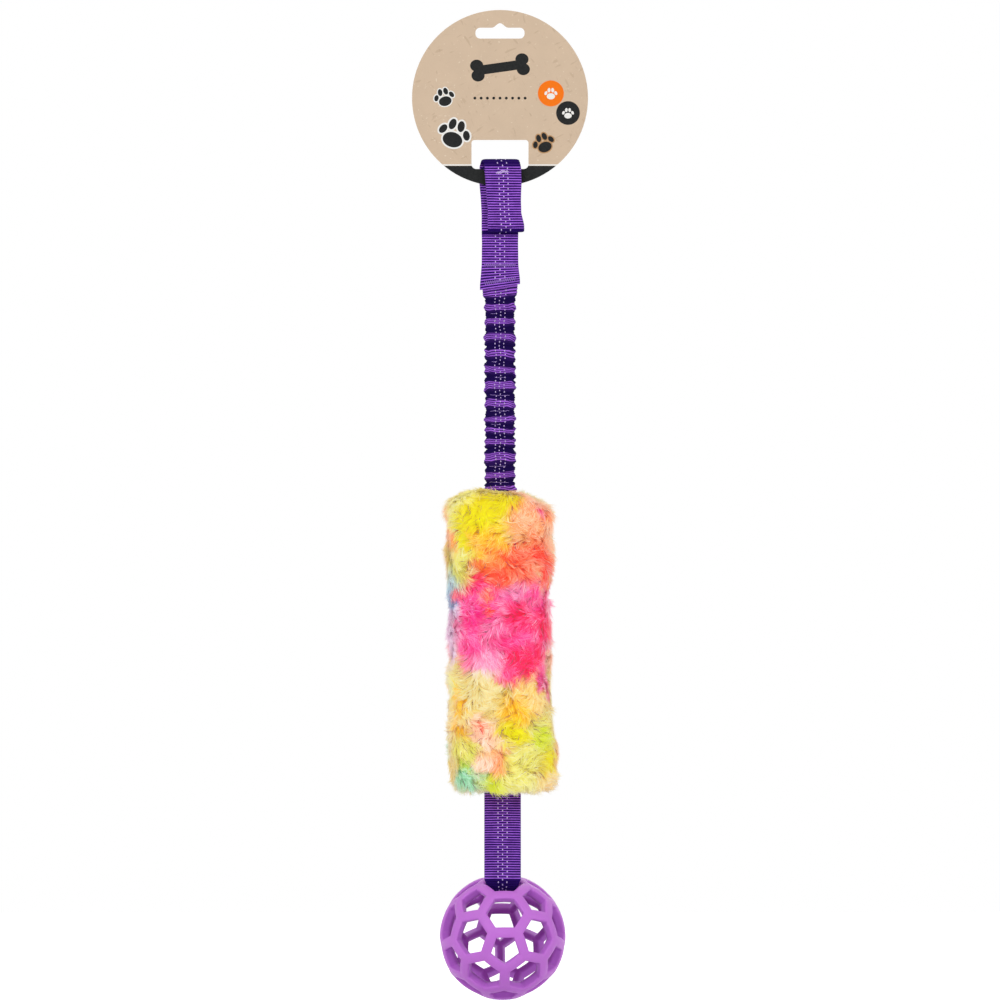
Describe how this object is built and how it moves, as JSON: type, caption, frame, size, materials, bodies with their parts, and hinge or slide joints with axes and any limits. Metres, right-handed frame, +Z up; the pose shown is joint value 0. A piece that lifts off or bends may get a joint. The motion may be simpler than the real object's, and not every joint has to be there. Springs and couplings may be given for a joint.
{
  "type": "dog tug toy",
  "caption": "Dog tug toy on a round header card: webbing handle loop, gathered bungee, plush fur tube, webbing strap and hollow lattice rubber ball.",
  "frame": {"origin": "crown of the card's hanging slot, in the middle of the board's thickness, where a display peg carries the toy", "axes": "+Z up along the hanging toy, +X to the right of the card's printed face, -Y out of the printed face"},
  "size_m": [0.1232, 0.0875, 0.693],
  "materials": {
    "kraft_board": "matte",
    "webbing": "matte",
    "thread": "satin",
    "elastic": "matte",
    "gathered_webbing": "matte",
    "fur_fabric": "matte",
    "wadding": "matte",
    "orchid_rubber": "matte"
  },
  "bodies": {
    "card": {"header_card": "kraft_board"},
    "handle": {"handle_loop": "webbing", "handle_bartack": "thread", "handle_end_bartack": "thread"},
    "bungee": {"bungee_elastic": "elastic", "bungee_sleeve": "gathered_webbing"},
    "plush": {"plush_cover": "fur_fabric", "plush_wadding": "wadding"},
    "strap": {"ball_strap": "webbing"},
    "ball": {"lattice_ball": "orchid_rubber"}
  },
  "joints": [
    {"name": "card_swing", "type": "hinge", "parent": "card", "child": "handle", "pos_m": [0, 0, -0.1021], "axis": [1, 0, 0], "range_deg": [-7, 7]},
    {"name": "bungee_bend", "type": "hinge", "parent": "handle", "child": "bungee", "pos_m": [0, 0, -0.18485], "axis": [1, 0, 0], "range_deg": [-90, 90]},
    {"name": "bungee_stretch", "type": "slide", "parent": "bungee", "child": "plush", "axis": [0, 0, -1], "range_m": [0, 0.1], "stiffness_N_per_m": 150, "springref_m": -0.05, "deforming": ["bungee_elastic", "bungee_sleeve"]},
    {"name": "strap_bend", "type": "hinge", "parent": "plush", "child": "strap", "pos_m": [0, 0, -0.5382], "axis": [1, 0, 0], "range_deg": [-90, 90], "deforming": ["ball_strap"]},
    {"name": "ball_swing", "type": "hinge", "parent": "strap", "child": "ball", "pos_m": [0.0018, 0, -0.5992], "axis": [1, 0, 0], "range_deg": [-20, 20]}
  ]
}
